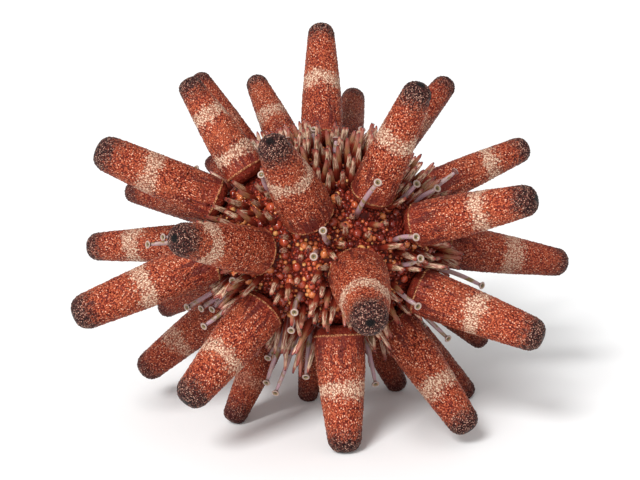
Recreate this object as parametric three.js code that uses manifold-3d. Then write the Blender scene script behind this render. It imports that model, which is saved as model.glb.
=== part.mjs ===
import * as THREE from "three";
import { mergeVertices } from "three/addons/utils/BufferGeometryUtils.js";
import Module from "manifold-3d";

const wasm = await Module();
wasm.setup();

// A pencil sea urchin, in millimetres, standing mouth down on the tips of its lowest spines.
// Azimuth 0 faces the front (-Y) and 90 the right (+X); latitude is the angle above level.
const SHELL_RADIUS = 27;
const SHELL_HALF_HEIGHT = 21.5;
const SHELL_SIDES = 24;
const SHELL_BANDS = 14;

// How far above the shell's skin each part of a long spine begins, along its shaft.
const GAP = 0.3;
const BOSS_TOP = 1.2;
const SOCKET_RISE = BOSS_TOP + GAP;
const NECK_RISE = 2.8;
const RING_RISE = 3.9;
const SHOULDER_RISE = 8;
const SPINE_SIDES = 10;
const BOSS_SIDES = 6;

// Shares of a spine's thickest radius.
const SOCKET_SHARE = 0.6;
const NECK_SHARE = 0.86;
const RING_SHARE = 1.03;
const BOSS_SHARE = 0.6;
const BOSS_FOOT_SHARE = 0.82;

// The tips of the standing spines are worn flat where they touch the ground.
const GROUND_DEPTH = 45.8;
const CUT_SIZE = 200;

// Long spines: name, azimuth and latitude of the root, azimuth and latitude of the shaft,
// length from the shell's skin, thickest radius, radius of the rounded tip.
const LONG_SPINES = [
  ["top", -177, 56, -179, 55, 36.5, 5.3, 3.4],
  ["upper_left", -66, 39, -115, 53, 30.5, 5.0, 3.0],
  ["upper_left_behind", -144, 18, -139, 40, 40, 4.5, 2.8],
  ["upper_left_rear", -160, 32, -155, 34, 34.5, 4.6, 2.9],
  ["upper_rear", 168, 30, 174, 23, 36.5, 4.4, 3.2],
  ["upper_right", 27, 31, 43, 61, 35, 5.2, 3.3],
  ["upper_right_behind", 140, 34, 138, 33, 35.5, 4.4, 3.1],
  ["right_high", 108, 20, 112, 18, 33, 4.5, 3.3],
  ["right_front", 47, 15, 66, 18, 34, 5.3, 3.7],
  ["right_long", 100, -6, 104, -12, 38.5, 5.6, 3.6],
  ["right_low", 50, -17, 71, -16, 35.5, 5.6, 4.1],
  ["lower_right", 58, -42, 51, -45, 36, 5.3, 3.8],
  ["lower_front", 10, -40, 9, -71, 32, 6.0, 4.1],
  ["lower_left", -33, -22, -46, -36, 33, 6.0, 4.1],
  ["lower_left_side", -90, -34, -100, -41, 36, 4.8, 3.7],
  ["left_low", -64, -2, -71, -18, 39.5, 5.5, 4.3],
  ["left_middle", -103, -6, -104, -6, 37, 4.8, 3.6],
  ["left_high", -76, 21, -87, 25, 35, 5.4, 4.4],
  ["left_rear", -124, 3, -119, 5, 35.5, 4.4, 3.0],
  ["front_left", -30, 5, -39, 18, 32.5, 5.5, 3.8],
  ["front_up", -7, 23, -25, 47, 31.5, 6.2, 3.6],
  ["front_low", 16, -2, 4, -4, 33, 6.8, 4.2],
  ["foot_left", -92, -60, -49, -58, 30.5, 4.5, 3.0],
  ["foot_middle", -170, -72, -85, -82, 25.5, 4.2, 2.6],
  ["foot_rear_right", 150, -52, 98, -65, 30.5, 4.2, 2.8],
  ["foot_right", 108, -50, 100, -49, 37, 4.4, 2.9],
  ["right_low_rear", 121, -28, 117, -42, 36, 4.2, 2.6],
  ["left_low_rear", -123, -24, -124, -31, 35, 4.4, 2.8],
  ["left_back", -152, -6, -145, 18, 36.5, 4.0, 2.4],
  ["back_middle", 175, 4, 176, 2, 38, 4.8, 3.2],
  ["back_right", 146, 5, 152, -4, 36, 4.6, 3.1],
  ["back_left_low", -172, -22, -170, -22, 38, 4.6, 3.1],
  ["back_right_low", 155, -22, 156, -24, 38, 4.6, 3.1],
  ["back_side", 124, 0, 124, -3, 35, 4.5, 3.0],
  ["foot_rear_left", -146, -46, -142, -56, 34.5, 4.6, 3.0],
];

// Small spines ring the foot of every long one, and an even spiral of them fills the rest
// of the shell, apart from a few bare patches: azimuth, latitude and radius.
const RING_GAP = 1.4;
const RING_SPACING = 5.8;
const SPIRAL_POINTS = 180;
const GOLDEN_ANGLE = Math.PI * (3 - Math.sqrt(5));
const SMALL_SPINE_SPACE = 4.4;
const SMALL_SPINE_RADIUS = 0.95;
const SMALL_SPINE_LENGTH = [5.6, 8.8];
const LOW_SPINE_GROWTH = 0.3;
const SMALL_SPINE_SIDES = 4;
const SMALL_SPINE_LEAN = 0.3;
const SMALL_SPINE_SPLAY = 0.22;
const ROOT_DEPTH = 1.2;
const BARE_PATCHES = [
  [14, 21, 4],
  [31, 16, 4],
  [-9, 5, 4.5],
  [-10, -7, 4],
];
const MOUTH_CLEAR_LATITUDE = -68;

// Tube feet: azimuth and latitude of the root, azimuth and latitude of the stalk, length.
const TUBE_FEET = [
  [-156, 74, -163, 80, 5],
  [127, 66, 117, 69, 6],
  [18, 25, 26, 44, 14.9],
  [51, 29, 49, 43, 7.8],
  [61, 25, 62, 35, 8.6],
  [2, 12, -9, 31, 10],
  [-4, 8, -4, 8, 9.6],
  [37, 10, 38, 18, 8.7],
  [42, -3, 44, 24, 6.7],
  [41, -16, 44, -22, 8],
  [79, -13, 79, -18, 14],
  [67, -32, 69, -39, 14.5],
  [67, -34, 93, -52, 8.6],
  [-83, -2, -85, 1, 16.8],
  [-85, 1, -84, 2, 13],
  [-45, -8, -45, -15, 4.3],
  [-72, -26, -73, -38, 7.7],
  [-73, -25, -74, -30, 9.7],
  [-69, -29, -71, -38, 12],
  [-93, 25, -94, 35, 10.5],
  [-36, 35, -32, 50, 8.3],
  [-74, -21, -76, -29, 12.3],
  [-13, -16, -13, -23, 6.5],
  [-18, -32, -22, -40, 5],
  [-38, -54, -48, -60, 16],
  [-29, -57, -46, -62, 17.9],
  [-42, -53, -54, -56, 10.2],
  [-18, -60, -16, -70, 12.6],
  [38, -54, 39, -66, 15.7],
];
const TUBE_FOOT_RADIUS = 0.6;
const TUBE_FOOT_DISC_RADIUS = 0.95;
const TUBE_FOOT_DISC_HEIGHT = 1.1;
const TUBE_FOOT_SIDES = 4;

// The mouth, underneath: a soft round membrane in an opening, with five teeth in its middle.
const MOUTH_RADIUS = 9;
const MOUTH_OPENING_DEPTH = 3;
const MEMBRANE_DROP = 0.8;
const MOUTH_SIDES = 20;
const TEETH_RADIUS = 3.2;
const TOOTH_COUNT = 5;
const TOOTH_LENGTH = 3.4;
const TOOTH_TIP_DROP = 1.6;

const COLOURS = { spine: 0xa8452a, shell: 0x7a2a1c, membrane: 0x6b3a30, tooth: 0xe6dcc4 };

function direction(azimuth, latitude) {
  const turn = THREE.MathUtils.degToRad(azimuth);
  const lift = THREE.MathUtils.degToRad(latitude);
  const level = Math.cos(lift);
  return new THREE.Vector3(level * Math.sin(turn), -level * Math.cos(turn), Math.sin(lift));
}

// The point of the shell's skin that lies in a direction from its centre.
function skinPoint(towards) {
  const { x, y, z } = towards;
  const stretch = Math.hypot(x / SHELL_RADIUS, y / SHELL_RADIUS, z / SHELL_HALF_HEIGHT);
  return towards.clone().divideScalar(stretch);
}

function skinNormal(point) {
  const across = SHELL_RADIUS ** 2;
  const along = SHELL_HALF_HEIGHT ** 2;
  return new THREE.Vector3(point.x / across, point.y / across, point.z / along).normalize();
}

// A repeatable number from 0 to 1 for a counted thing.
function scatter(count, seed) {
  const wave = Math.sin(count * 12.9898 + seed * 78.233) * 43758.5453;
  return wave - Math.floor(wave);
}

// Stands a shape that was turned about Y up along a direction, with its foot at a point.
function standing(geometry, foot, along) {
  const turn = new THREE.Quaternion().setFromUnitVectors(new THREE.Vector3(0, 1, 0), along);
  geometry.applyQuaternion(turn);
  geometry.translate(foot.x, foot.y, foot.z);
  return geometry;
}

function turned(profile, sides) {
  const outline = profile.map(([radius, height]) => new THREE.Vector2(radius, height));
  return new THREE.LatheGeometry(outline, sides);
}

function solid(geometry) {
  const bare = geometry.clone();
  bare.deleteAttribute("normal");
  bare.deleteAttribute("uv");
  const merged = mergeVertices(bare, 1e-4);
  const kept = [];
  const index = merged.index.array;
  for (let i = 0; i < index.length; i += 3) {
    const [a, b, c] = [index[i], index[i + 1], index[i + 2]];
    if (a !== b && b !== c && c !== a) kept.push(a, b, c);
  }
  const vertProperties = new Float32Array(merged.attributes.position.array);
  return new wasm.Manifold(new wasm.Mesh({ numProp: 3, vertProperties, triVerts: new Uint32Array(kept) }));
}

function geometryOf(manifold) {
  const { numProp, vertProperties, triVerts } = manifold.getMesh();
  const geometry = new THREE.BufferGeometry();
  const positions = new Float32Array((vertProperties.length / numProp) * 3);
  for (let i = 0; i < positions.length / 3; i += 1) {
    positions.set(vertProperties.subarray(i * numProp, i * numProp + 3), i * 3);
  }
  geometry.setAttribute("position", new THREE.BufferAttribute(positions, 3));
  geometry.setIndex(new THREE.BufferAttribute(new Uint32Array(triVerts), 1));
  return geometry;
}

function piece(name, geometry, colour, roughness = 0.6) {
  const material = new THREE.MeshStandardMaterial({ color: colour, roughness, metalness: 0 });
  const mesh = new THREE.Mesh(geometry, material);
  mesh.name = name;
  return mesh;
}

function readSpine([name, rootAzimuth, rootLatitude, azimuth, latitude, length, thick, tip]) {
  const root = skinPoint(direction(rootAzimuth, rootLatitude));
  return { name, root, along: direction(azimuth, latitude), length, thick, tip };
}

const spines = LONG_SPINES.map(readSpine);

// The shaft's outline: socket, neck, ring, shoulder, slow taper, rounded tip.
function spineProfile({ length, thick, tip }) {
  const waist = thick + (tip - thick) * 0.42;
  return [
    [0, SOCKET_RISE],
    [thick * SOCKET_SHARE, SOCKET_RISE],
    [thick * NECK_SHARE, NECK_RISE],
    [thick * RING_SHARE, RING_RISE],
    [thick, SHOULDER_RISE],
    [waist, length * 0.62],
    [tip, length - tip * 0.85],
    [tip * 0.68, length - tip * 0.22],
    [0, length],
  ];
}

function spineSolid(spine) {
  return solid(standing(turned(spineProfile(spine), SPINE_SIDES), spine.root, spine.along));
}

// Everything below the ground, to wear a standing tip flat.
function groundBlock() {
  const block = new THREE.BoxGeometry(CUT_SIZE, CUT_SIZE, CUT_SIZE);
  block.translate(0, 0, -GROUND_DEPTH - CUT_SIZE / 2);
  return solid(block);
}

function bossSolid({ root, along, thick }) {
  const profile = [
    [0, -ROOT_DEPTH],
    [thick * BOSS_FOOT_SHARE, -ROOT_DEPTH],
    [thick * BOSS_SHARE, BOSS_TOP],
    [0, BOSS_TOP],
  ];
  return solid(standing(turned(profile, BOSS_SIDES), root, along));
}

// The radius of a long spine at a height above the skin, a little full.
function shaftRadius({ length, thick, tip }, height) {
  if (height < 0 || height > length) return 0;
  return thick * RING_SHARE + (tip - thick) * (height / length) ** 1.5;
}

// Whether a slim stalk stays clear of every long spine.
function isClear(from, along, length, radius) {
  return spines.every((spine) => {
    for (let share = 0; share <= 1; share += 0.125) {
      const point = from.clone().addScaledVector(along, length * share);
      const offset = point.sub(spine.root);
      const height = THREE.MathUtils.clamp(offset.dot(spine.along), 0, spine.length);
      const distance = offset.addScaledVector(spine.along, -height).length();
      const slim = radius * (1 - share * 0.6);
      if (distance < Math.max(shaftRadius(spine, height), 1) + slim + GAP) return false;
    }
    return true;
  });
}

function isBare(root) {
  return BARE_PATCHES.some(([azimuth, latitude, radius]) => {
    return root.distanceTo(skinPoint(direction(azimuth, latitude))) < radius;
  });
}

function ringRoots({ root, along, thick }) {
  const side = new THREE.Vector3(0, 0, 1).cross(along).normalize();
  const other = along.clone().cross(side);
  const reach = thick + RING_GAP;
  const count = Math.round((2 * Math.PI * reach) / RING_SPACING);
  return Array.from({ length: count }, (unused, number) => {
    const turn = (2 * Math.PI * number) / count;
    const point = root.clone().addScaledVector(side, reach * Math.cos(turn));
    return skinPoint(point.addScaledVector(other, reach * Math.sin(turn)));
  });
}

function spiralRoots() {
  return Array.from({ length: SPIRAL_POINTS }, (unused, number) => {
    const height = 1 - (2 * number + 1) / SPIRAL_POINTS;
    const turn = number * GOLDEN_ANGLE;
    const level = Math.sqrt(1 - height * height);
    return skinPoint(new THREE.Vector3(level * Math.cos(turn), level * Math.sin(turn), height));
  });
}

function awayFromSpines(root) {
  const nearest = spines.reduce((best, spine) => {
    return root.distanceTo(spine.root) < root.distanceTo(best.root) ? spine : best;
  });
  return root.clone().sub(nearest.root).normalize();
}

// A small spine leans further from the long one beside it, and is shorter, where it would touch it.
function smallSpineAt(root, number) {
  const lean = [1, 2, 3].map((seed) => (scatter(number, seed) - 0.5) * SMALL_SPINE_LEAN);
  const [shortest, longest] = SMALL_SPINE_LENGTH;
  const low = THREE.MathUtils.smoothstep(-root.z / SHELL_HALF_HEIGHT, 0.25, 0.65);
  const fullLength = (shortest + (longest - shortest) * scatter(number, 4)) * (1 + LOW_SPINE_GROWTH * low);
  for (const [push, share] of [[0, 1], [0.35, 0.9], [0.7, 0.75]]) {
    const along = skinNormal(root).add(new THREE.Vector3(...lean));
    along.addScaledVector(awayFromSpines(root), SMALL_SPINE_SPLAY + push).normalize();
    const length = fullLength * share;
    if (isClear(root, along, length, SMALL_SPINE_RADIUS)) return { root, along, length };
  }
  return null;
}

function smallSpinePlaces() {
  const lowest = SHELL_HALF_HEIGHT * Math.sin(THREE.MathUtils.degToRad(MOUTH_CLEAR_LATITUDE));
  const places = [];
  [...spines.flatMap(ringRoots), ...spiralRoots()].forEach((root, number) => {
    if (root.z < lowest || isBare(root)) return;
    if (places.some((place) => place.root.distanceTo(root) < SMALL_SPINE_SPACE)) return;
    const place = smallSpineAt(root, number);
    if (place) places.push(place);
  });
  return places;
}

function smallSpines() {
  return smallSpinePlaces().map(({ root, along, length }) => {
    const profile = [[0, -ROOT_DEPTH], [SMALL_SPINE_RADIUS, -ROOT_DEPTH], [0, length]];
    return solid(standing(turned(profile, SMALL_SPINE_SIDES), root, along));
  });
}

function tubeFeet() {
  return TUBE_FEET.map(([rootAzimuth, rootLatitude, azimuth, latitude, length]) => {
    const root = skinPoint(direction(rootAzimuth, rootLatitude));
    const along = direction(azimuth, latitude);
    const profile = [
      [0, -ROOT_DEPTH],
      [TUBE_FOOT_RADIUS, -ROOT_DEPTH],
      [TUBE_FOOT_RADIUS, length - TUBE_FOOT_DISC_HEIGHT],
      [TUBE_FOOT_DISC_RADIUS, length],
      [0, length],
    ];
    return { root, along, length, foot: solid(standing(turned(profile, TUBE_FOOT_SIDES), root, along)) };
  }).filter(({ root, along, length }) => isClear(root, along, length, TUBE_FOOT_DISC_RADIUS))
    .map(({ foot }) => foot);
}

// A round opening's cutter, standing on the mouth's axis.
function roundBlock(radius, bottom, top) {
  const cylinder = new THREE.CylinderGeometry(radius, radius, top - bottom, MOUTH_SIDES);
  cylinder.rotateX(Math.PI / 2);
  cylinder.translate(0, 0, (top + bottom) / 2);
  return solid(cylinder);
}

function shellSolid() {
  const ball = new THREE.SphereGeometry(1, SHELL_SIDES, SHELL_BANDS);
  ball.rotateX(Math.PI / 2);
  ball.scale(SHELL_RADIUS, SHELL_RADIUS, SHELL_HALF_HEIGHT);
  const grown = [...spines.map(bossSolid), ...smallSpines(), ...tubeFeet()];
  const joined = grown.reduce((whole, part) => whole.add(part), solid(ball));
  const opening = roundBlock(MOUTH_RADIUS, -SHELL_HALF_HEIGHT - 10, mouthTop());
  return joined.subtract(opening);
}

function mouthTop() {
  return -SHELL_HALF_HEIGHT + MOUTH_OPENING_DEPTH;
}

// The membrane fills the opening, domes out a little and leaves a round gap for the teeth.
function membraneGeometry() {
  const outer = MOUTH_RADIUS - GAP;
  const top = mouthTop() - GAP;
  const profile = [
    [TEETH_RADIUS, -SHELL_HALF_HEIGHT - MEMBRANE_DROP],
    [outer * 0.8, -SHELL_HALF_HEIGHT],
    [outer, -SHELL_HALF_HEIGHT + 1.6],
    [outer, top],
    [TEETH_RADIUS, top],
    [TEETH_RADIUS, -SHELL_HALF_HEIGHT - MEMBRANE_DROP],
  ];
  const ring = turned(profile, MOUTH_SIDES);
  ring.rotateX(Math.PI / 2);
  return geometryOf(solid(ring));
}

// One tooth is a slim wedge that narrows downwards to meet the other four.
function toothGeometry(number) {
  const spread = (Math.PI / TOOTH_COUNT) * 0.82;
  const reach = TEETH_RADIUS - GAP;
  const outline = new THREE.Shape();
  outline.moveTo(GAP, 0);
  outline.lineTo(reach * Math.cos(spread), -reach * Math.sin(spread));
  outline.lineTo(reach, 0);
  outline.lineTo(reach * Math.cos(spread), reach * Math.sin(spread));
  outline.closePath();
  const wedge = new THREE.ExtrudeGeometry(outline, { depth: TOOTH_LENGTH, bevelEnabled: false });
  const position = wedge.attributes.position;
  for (let i = 0; i < position.count; i += 1) {
    if (position.getZ(i) > 0) continue;
    position.setXY(i, GAP + (position.getX(i) - GAP) * 0.3, position.getY(i) * 0.3);
  }
  wedge.rotateZ((number * 2 * Math.PI) / TOOTH_COUNT);
  wedge.translate(0, 0, -SHELL_HALF_HEIGHT - TOOTH_TIP_DROP);
  return geometryOf(solid(wedge));
}

function buildUrchin() {
  const urchin = new THREE.Group();
  urchin.add(piece("test", geometryOf(shellSolid()), COLOURS.shell));
  urchin.add(piece("mouth_membrane", membraneGeometry(), COLOURS.membrane, 0.8));
  for (let number = 1; number <= TOOTH_COUNT; number += 1) {
    urchin.add(piece(`tooth_${number}`, toothGeometry(number), COLOURS.tooth, 0.35));
  }
  const ground = groundBlock();
  for (const spine of spines) {
    const worn = spineSolid(spine).subtract(ground);
    urchin.add(piece(`spine_${spine.name}`, geometryOf(worn), COLOURS.spine));
  }
  return urchin;
}

// The origin is on the ground, under the middle of the whole outline.
function onGround(urchin) {
  const box = new THREE.Box3().setFromObject(urchin);
  const middle = box.getCenter(new THREE.Vector3());
  urchin.position.set(-middle.x, -middle.y, -box.min.z);
  const whole = new THREE.Group();
  whole.add(urchin);
  return whole;
}

export default onGround(buildUrchin());
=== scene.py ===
import math

import bmesh
import bpy
import numpy as np
from mathutils import Matrix, Quaternion, Vector


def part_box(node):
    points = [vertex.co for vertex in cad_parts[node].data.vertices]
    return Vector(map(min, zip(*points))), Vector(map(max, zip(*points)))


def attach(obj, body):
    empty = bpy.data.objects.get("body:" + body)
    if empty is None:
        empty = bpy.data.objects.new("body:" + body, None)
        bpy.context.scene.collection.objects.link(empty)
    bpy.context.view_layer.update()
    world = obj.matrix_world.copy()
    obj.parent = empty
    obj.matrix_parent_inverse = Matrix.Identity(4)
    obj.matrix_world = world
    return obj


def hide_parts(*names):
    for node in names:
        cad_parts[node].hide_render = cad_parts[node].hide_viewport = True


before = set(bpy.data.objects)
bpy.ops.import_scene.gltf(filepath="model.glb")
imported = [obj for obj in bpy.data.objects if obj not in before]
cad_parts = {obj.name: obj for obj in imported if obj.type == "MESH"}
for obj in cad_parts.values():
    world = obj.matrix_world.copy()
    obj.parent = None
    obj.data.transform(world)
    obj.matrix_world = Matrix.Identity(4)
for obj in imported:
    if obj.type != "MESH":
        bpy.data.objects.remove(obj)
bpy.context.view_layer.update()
print("frame loaded:", len(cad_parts), "nodes")

mm = 0.001
body = {
    "radius": 27 * mm,
    "halfHeight": 21.5 * mm,
    "membraneDrop": 0.8 * mm,      # the membrane's lowest edge is this far under the shell's end
    "mouthRadius": 9.2 * mm,
    "mouthDepth": 3 * mm,
    "bossHeight": 1.1 * mm,
    "bossShare": 0.62,             # of the long spine's thickest radius
    "bossReach": 1.35,             # where the boss ends, in boss radii
    "bossSlope": 0.6,              # the width of its slope, in boss radii
    "bossDepth": 8 * mm,           # skin further behind the spine's root than this isn't raised
    "subdivisions": 6,
}


def shellCentre():
    low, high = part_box("mouth_membrane")
    middle = [(a + b) / 2 for a, b in zip(low, high)]
    return Vector((middle[0], middle[1], low[2] + body["membraneDrop"] + body["halfHeight"]))


centre = shellCentre()


# Directions: azimuth 0 is the front (-Y), 90 the right (+X); latitude is above level.
def direction(azimuth, latitude):
    turn, lift = math.radians(azimuth), math.radians(latitude)
    return Vector((math.cos(lift) * math.sin(turn), -math.cos(lift) * math.cos(turn), math.sin(lift)))


def skinPoint(towards):
    across, along = body["radius"], body["halfHeight"]
    stretch = math.sqrt((towards.x / across) ** 2 + (towards.y / across) ** 2 + (towards.z / along) ** 2)
    return towards / stretch


def skinNormal(point):
    across, along = body["radius"] ** 2, body["halfHeight"] ** 2
    return Vector((point.x / across, point.y / across, point.z / along)).normalized()


# A number from 0 to 1 that seems random and is the same in each run.
def scatter(count, seed):
    wave = math.sin(count * 12.9898 + seed * 78.233) * 43758.5453
    return wave - math.floor(wave)


def easeIn(share):
    return share * share * (3 - 2 * share)


# Camera

camera = {
    "distance": 380 * mm,
    "elevation": 15,
    "pixel": 0.25 * mm,        # the size of a pixel at the shell's middle
    "middle": (325, 237),      # where the shell's middle is in the 640 x 480 picture
    "frame": (640, 480),
    "sensor": 36,
}


def makeCamera():
    data = bpy.data.cameras.new("camera")
    data.sensor_width = camera["sensor"]
    across, down = camera["frame"]
    data.lens = camera["sensor"] * camera["distance"] / (camera["pixel"] * across)
    data.shift_x = (across / 2 - camera["middle"][0]) / across
    data.shift_y = (camera["middle"][1] - down / 2) / across
    data.clip_start = 0.01
    towards = direction(0, camera["elevation"])
    eye = bpy.data.objects.new("camera", data)
    eye.location = centre + towards * camera["distance"]
    eye.rotation_euler = (-towards).to_track_quat("-Z", "Y").to_euler()
    bpy.context.collection.objects.link(eye)
    bpy.context.scene.camera = eye


makeCamera()
print("camera placed")


# Reading the long spines from the frame

reading = {
    "ringGap": 0.35 * mm,          # a wider step along the spine starts a new ring of points
    "ringPoints": 10,              # the least number of points in a whole ring
    "ringHeight": 2.4 * mm,        # the height of the widest ring above the foot
    "shoulder": 6.5 * mm,          # the height at which the shaft is thickest
    "window": 0.3 * mm,            # how far from the shoulder points count
    "tipSlack": 0.02 * mm,
    "tipShare": 0.85,              # the height of the rounded tip, in tip radii
    "socket": 1.5 * mm,            # from the spine's root in the shell to its foot
}


def uniquePoints(node):
    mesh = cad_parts[node].data
    points = np.empty(len(mesh.vertices) * 3)
    mesh.vertices.foreach_get("co", points)
    return np.unique(points.reshape(-1, 3).round(7), axis=0)


def ringsAlong(points, axis):
    heights = points @ axis
    order = np.argsort(heights)
    splits = np.where(np.diff(heights[order]) > reading["ringGap"])[0] + 1
    return [points[group] for group in np.split(order, splits)]


# Its first and fifth ring give a spine's axis.
def readSpine(node):
    points = uniquePoints(node)
    middle = points.mean(axis=0)
    axis = np.linalg.svd(points - middle)[2][0]
    if axis @ (middle - np.array(centre)) < 0:
        axis = -axis
    whole = [ring for ring in ringsAlong(points, axis)[:5] if len(ring) >= reading["ringPoints"]]
    base, waist = whole[0].mean(axis=0), whole[4].mean(axis=0)
    axis = (waist - base) / np.linalg.norm(waist - base)
    offsets = points - base
    heights = offsets @ axis
    radii = np.linalg.norm(offsets - np.outer(heights, axis), axis=1)
    thick = radii[np.abs(heights - reading["shoulder"]) < reading["window"]].max()
    beyond = heights > (waist - base) @ axis + mm
    tip = radii[beyond].max()
    tipStart = heights[beyond][radii[beyond] > tip - reading["tipSlack"]].min()
    socket = reading["socket"]
    return {
        "node": node,
        "along": Vector(axis),
        "root": Vector(base - axis * socket),
        "thick": float(thick),
        "tip": float(tip),
        "length": float(tipStart + socket + reading["tipShare"] * tip),
        "ring": reading["ringHeight"] + socket,
    }


longNodes = sorted(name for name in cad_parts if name.startswith("spine_"))
spines = [readSpine(name) for name in longNodes]
print("long spines read:", len(spines))


# Node helpers

work = {}                          # the node tree in the making, and its material if it has one


def fill(socket, value):
    if isinstance(value, bpy.types.NodeSocket):
        work["tree"].links.new(value, socket)
    else:
        socket.default_value = value


# Inputs go by name or by place, and settings are the node's own.
def addNode(kind, inputs=None, **settings):
    made = work["tree"].nodes.new(kind)
    for name, value in settings.items():
        setattr(made, name, value)
    for name, value in (inputs or {}).items():
        fill(made.inputs[name], value)
    return made


# Some nodes have several sockets of one name, one for each kind of value.
def pick(sockets, kind="VALUE", name=None):
    return next(socket for socket in sockets if socket.type == kind and name in (None, socket.name))


def sumUp(operation, *values, clamp=False):
    made = addNode("ShaderNodeMath", dict(enumerate(values)), operation=operation, use_clamp=clamp)
    return made.outputs["Value"]


def times(first, second):
    return sumUp("MULTIPLY", first, second)


def minus(first, second):
    return sumUp("SUBTRACT", first, second)


def timesPlus(first, second, third):
    return sumUp("MULTIPLY_ADD", first, second, third)


# Moves a value up or down, by how far a number is from its middle.
def shifted(value, number, amount, middle=0.5):
    return timesPlus(minus(number, middle), amount, value)


def smooth(value, low, high, toLow=0.0, toHigh=1.0):
    ends = {"From Min": low, "From Max": high, "To Min": toLow, "To Max": toHigh}
    made = addNode("ShaderNodeMapRange", {"Value": value, **ends}, interpolation_type="SMOOTHSTEP")
    return made.outputs["Result"]


def combine(x=0.0, y=0.0, z=0.0):
    return addNode("ShaderNodeCombineXYZ", {"X": x, "Y": y, "Z": z}).outputs["Vector"]


def separate(vector):
    return addNode("ShaderNodeSeparateXYZ", {"Vector": vector}).outputs


def randomNumber(seed, least=0.0, most=1.0):
    made = addNode("FunctionNodeRandomValue", {"Seed": seed}, data_type="FLOAT")
    fill(pick(made.inputs, name="Min"), least)
    fill(pick(made.inputs, name="Max"), most)
    return pick(made.outputs)


# Starts a tree and returns what comes into it.
def newTree(name, sockets):
    work["tree"] = tree = bpy.data.node_groups.new(name, "GeometryNodeTree")
    tree.is_modifier = True
    tree.interface.new_socket("Geometry", in_out="INPUT", socket_type="NodeSocketGeometry")
    for label, kind in sockets.items():
        tree.interface.new_socket(label, in_out="INPUT", socket_type="NodeSocket" + kind)
    tree.interface.new_socket("Geometry", in_out="OUTPUT", socket_type="NodeSocketGeometry")
    return addNode("NodeGroupInput").outputs


def store(geometry, name, value, kind="FLOAT", domain="POINT"):
    made = addNode("GeometryNodeStoreNamedAttribute", {"Geometry": geometry, "Name": name, "Value": value},
                   data_type=kind, domain=domain)
    return made.outputs["Geometry"]


def readAttribute(name, kind="FLOAT"):
    made = addNode("GeometryNodeInputNamedAttribute", {"Name": name}, data_type=kind)
    return made.outputs["Attribute"]


def nowPosition():
    return addNode("GeometryNodeInputPosition").outputs["Position"]


def moved(geometry, offset):
    return addNode("GeometryNodeSetPosition", {"Geometry": geometry, "Offset": offset}).outputs["Geometry"]


def shadeSmooth(geometry):
    made = addNode("GeometryNodeSetShadeSmooth", {"Geometry": geometry, "Shade Smooth": True})
    return made.outputs["Geometry"]


def endTree(geometry, material):
    real = addNode("GeometryNodeRealizeInstances", {"Geometry": geometry}).outputs["Geometry"]
    painted = addNode("GeometryNodeSetMaterial", {"Geometry": real, "Material": material})
    addNode("NodeGroupOutput", {"Geometry": painted.outputs["Geometry"]})
    return work["tree"]


# The mesh that a tree makes of an object, which isn't needed any more after it.
def runTree(source, tree, values):
    modifier = source.modifiers.new(tree.name, "NODES")
    modifier.node_group = tree
    for item in tree.interface.items_tree:
        if item.in_out == "INPUT" and item.name in values:
            modifier[item.identifier] = values[item.name]
    bpy.context.view_layer.update()
    graph = bpy.context.evaluated_depsgraph_get()
    mesh = bpy.data.meshes.new_from_object(source.evaluated_get(graph), depsgraph=graph)
    plain = source.data
    bpy.data.objects.remove(source)
    bpy.data.meshes.remove(plain)
    return mesh


def addObject(name, mesh):
    piece = bpy.data.objects.new(name, mesh)
    bpy.context.collection.objects.link(piece)
    return piece


def keepMesh(name, mesh, replaced=()):
    mesh.name = name
    piece = addObject(name, mesh)
    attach(piece, "root")
    if replaced:
        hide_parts(*replaced)


# Material helpers

# Starts a material, to whose nodes the next ones are added.
def newMaterial(name, roughness, coat=0.0, specular=0.5):
    material = bpy.data.materials.new(name)
    material.use_nodes = True
    shader = material.node_tree.nodes["Principled BSDF"]
    shader.inputs["Roughness"].default_value = roughness
    shader.inputs["Coat Weight"].default_value = coat
    shader.inputs["Coat Roughness"].default_value = 0.25
    shader.inputs["Specular IOR Level"].default_value = specular
    work.update(material=material, tree=material.node_tree, shader=shader)


# Ends a material: its colour and, if it has a relief, the height, depth and strength of that.
def paint(skin, height=None, depth=0.0, strength=0.0):
    fill(work["shader"].inputs["Base Color"], skin)
    if height:
        relief = addNode("ShaderNodeBump", {"Height": height, "Distance": depth, "Strength": strength})
        fill(work["shader"].inputs["Normal"], relief.outputs["Normal"])
    return work["material"]


def attribute(name, output="Fac"):
    return addNode("ShaderNodeAttribute", attribute_name=name).outputs[output]


def textureSpot(spot, stretch):
    spot = spot or addNode("ShaderNodeTexCoord").outputs["Object"]
    if stretch:
        spot = addNode("ShaderNodeMapping", {"Vector": spot, "Scale": stretch}).outputs["Vector"]
    return spot


def noise(scale, detail=3.0, roughness=0.6, stretch=None, spot=None):
    made = addNode("ShaderNodeTexNoise", {
        "Vector": textureSpot(spot, stretch), "Scale": scale, "Detail": detail, "Roughness": roughness})
    return made.outputs["Fac"]


# Small round domes side by side: how high a point is on its dome, and three chances for the dome.
def domes(size, spot=None, stretch=None, low=0.12, high=0.72):
    cells = addNode("ShaderNodeTexVoronoi", {
        "Vector": textureSpot(spot, stretch), "Scale": 1 / size}, feature="F1")
    chances = addNode("ShaderNodeSeparateColor", {"Color": cells.outputs["Color"]}).outputs
    height = smooth(cells.outputs["Distance"], low, high, 1.0, 0.0)
    return height, chances["Red"], chances["Green"], chances["Blue"]


# Each stop is a place and the name of one of the look's colours.
def ramp(value, look, *stops):
    made = addNode("ShaderNodeValToRGB", {"Fac": value})
    points = made.color_ramp.elements
    while len(points) < len(stops):
        points.new(0.5)
    for point, (place, name) in zip(points, stops):
        point.position = place
        point.color = (*look[name], 1)
    return made.outputs["Color"]


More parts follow.
